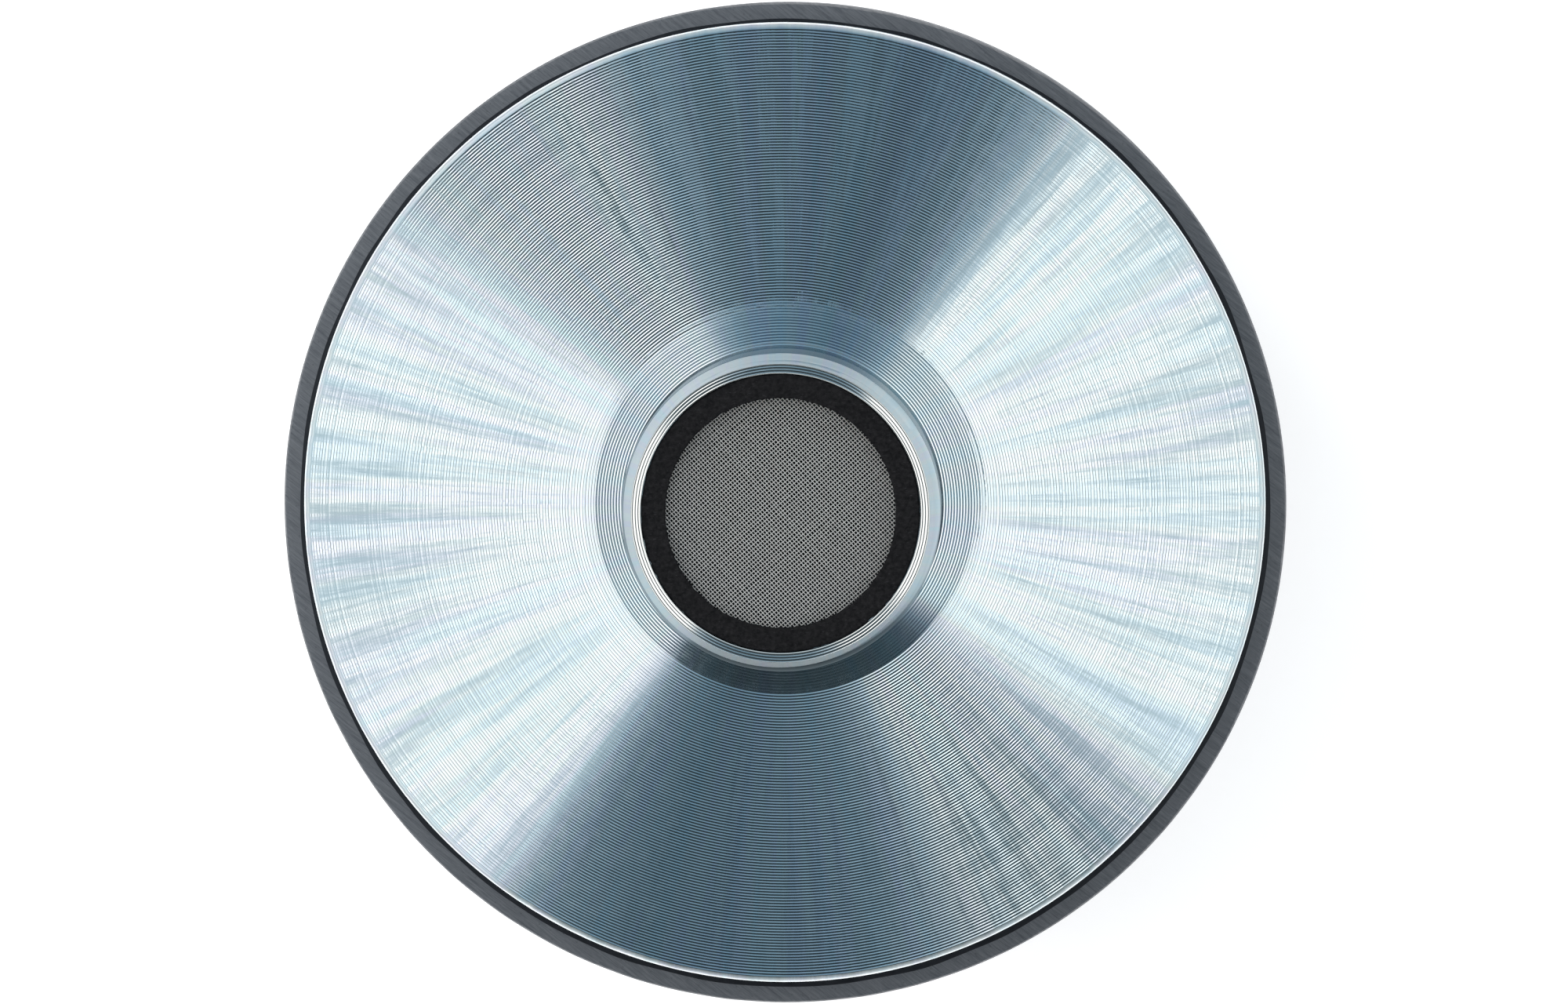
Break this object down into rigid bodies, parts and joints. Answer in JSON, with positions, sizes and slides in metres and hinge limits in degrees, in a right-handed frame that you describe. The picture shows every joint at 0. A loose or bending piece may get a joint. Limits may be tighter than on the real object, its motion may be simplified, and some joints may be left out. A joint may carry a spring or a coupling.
{
  "type": "compression driver",
  "caption": "Screw-on horn compression driver with a ring magnet, a threaded neck, a screened throat, a dome diaphragm, a rear cover and two push terminals.",
  "frame": {"origin": "centre of the rear cover's flat back, which is the bottom of the bounding box", "axes": "+Z along the sound axis, out of the neck; the push terminals stand on the -Y side; +X is to the right when the driver stands on its cover and is seen from the terminal side"},
  "size_m": [0.112, 0.112, 0.0725],
  "materials": {
    "zinc_steel": "zinc plated and blue passivated over fine turned grooves",
    "ferrite": "ground ceramic magnet, dull dark grey",
    "adhesive": "dark cured adhesive",
    "stainless": "fine woven and drawn stainless wire",
    "black_fibre": "black fibre gasket, rough",
    "black_plastic": "moulded, fine spark texture",
    "black_gloss": "moulded, smooth",
    "grey_plastic": "moulded, glass filled",
    "titanium": "pressed titanium foil",
    "polyimide": "amber film",
    "copper": "enamelled copper",
    "brass": "tinned or plain brass",
    "nickel": "bright nickel plate",
    "black_steel": "black oxide",
    "foam": "open cell foam",
    "red_gloss": "moulded, smooth",
    "red_pvc": "insulation",
    "black_pvc": "insulation"
  },
  "bodies": {
    "motor": {"yoke": "zinc_steel", "ring_magnet": "ferrite", "rear_plate": "zinc_steel", "front_glue_bead": "adhesive", "rear_glue_bead": "adhesive", "throat_screen": "stainless", "screen_gasket": "black_fibre", "phase_plug": "black_plastic", "surround": "polyimide", "surround_clamp_ring": "nickel", "diaphragm_ring": "grey_plastic", "rear_cover": "black_plastic", "cover_gasket": "foam", "damping_pad": "foam", "terminal_block": "black_gloss", "locating_pin_1": "nickel", "locating_pin_2": "nickel", "cover_screw_1": "black_steel", "cover_screw_2": "black_steel", "cover_screw_3": "black_steel", "cover_screw_4": "black_steel", "block_screw_1": "black_steel", "block_screw_2": "black_steel", "lead_strip_red": "copper", "contact_eyelet_red": "brass", "terminal_post_red": "nickel", "terminal_spring_red": "stainless", "solder_lug_red": "brass", "post_nut_red": "brass", "hookup_wire_red": "red_pvc", "lead_strip_black": "copper", "contact_eyelet_black": "brass", "terminal_post_black": "nickel", "terminal_spring_black": "stainless", "solder_lug_black": "brass", "post_nut_black": "brass", "hookup_wire_black": "black_pvc"},
    "diaphragm": {"dome": "titanium", "coil_former": "polyimide", "voice_coil": "copper"},
    "red_cap": {"terminal_cap_red": "red_gloss"},
    "black_cap": {"terminal_cap_black": "black_gloss"}
  },
  "joints": [
    {"name": "diaphragm_travel", "type": "slide", "parent": "motor", "child": "diaphragm", "axis": [0, 0, 1], "range_m": [-0.0003, 0.0003], "stiffness_N_per_m": 6000, "deforming": ["surround", "lead_strip_red", "lead_strip_black"]},
    {"name": "red_terminal_push", "type": "slide", "parent": "motor", "child": "red_cap", "axis": [0, 1, 0], "range_m": [0, 0.003], "stiffness_N_per_m": 300, "springref_m": -0.005, "deforming": ["terminal_spring_red"]},
    {"name": "black_terminal_push", "type": "slide", "parent": "motor", "child": "black_cap", "axis": [0, 1, 0], "range_m": [0, 0.003], "stiffness_N_per_m": 300, "springref_m": -0.005, "deforming": ["terminal_spring_black"]}
  ]
}
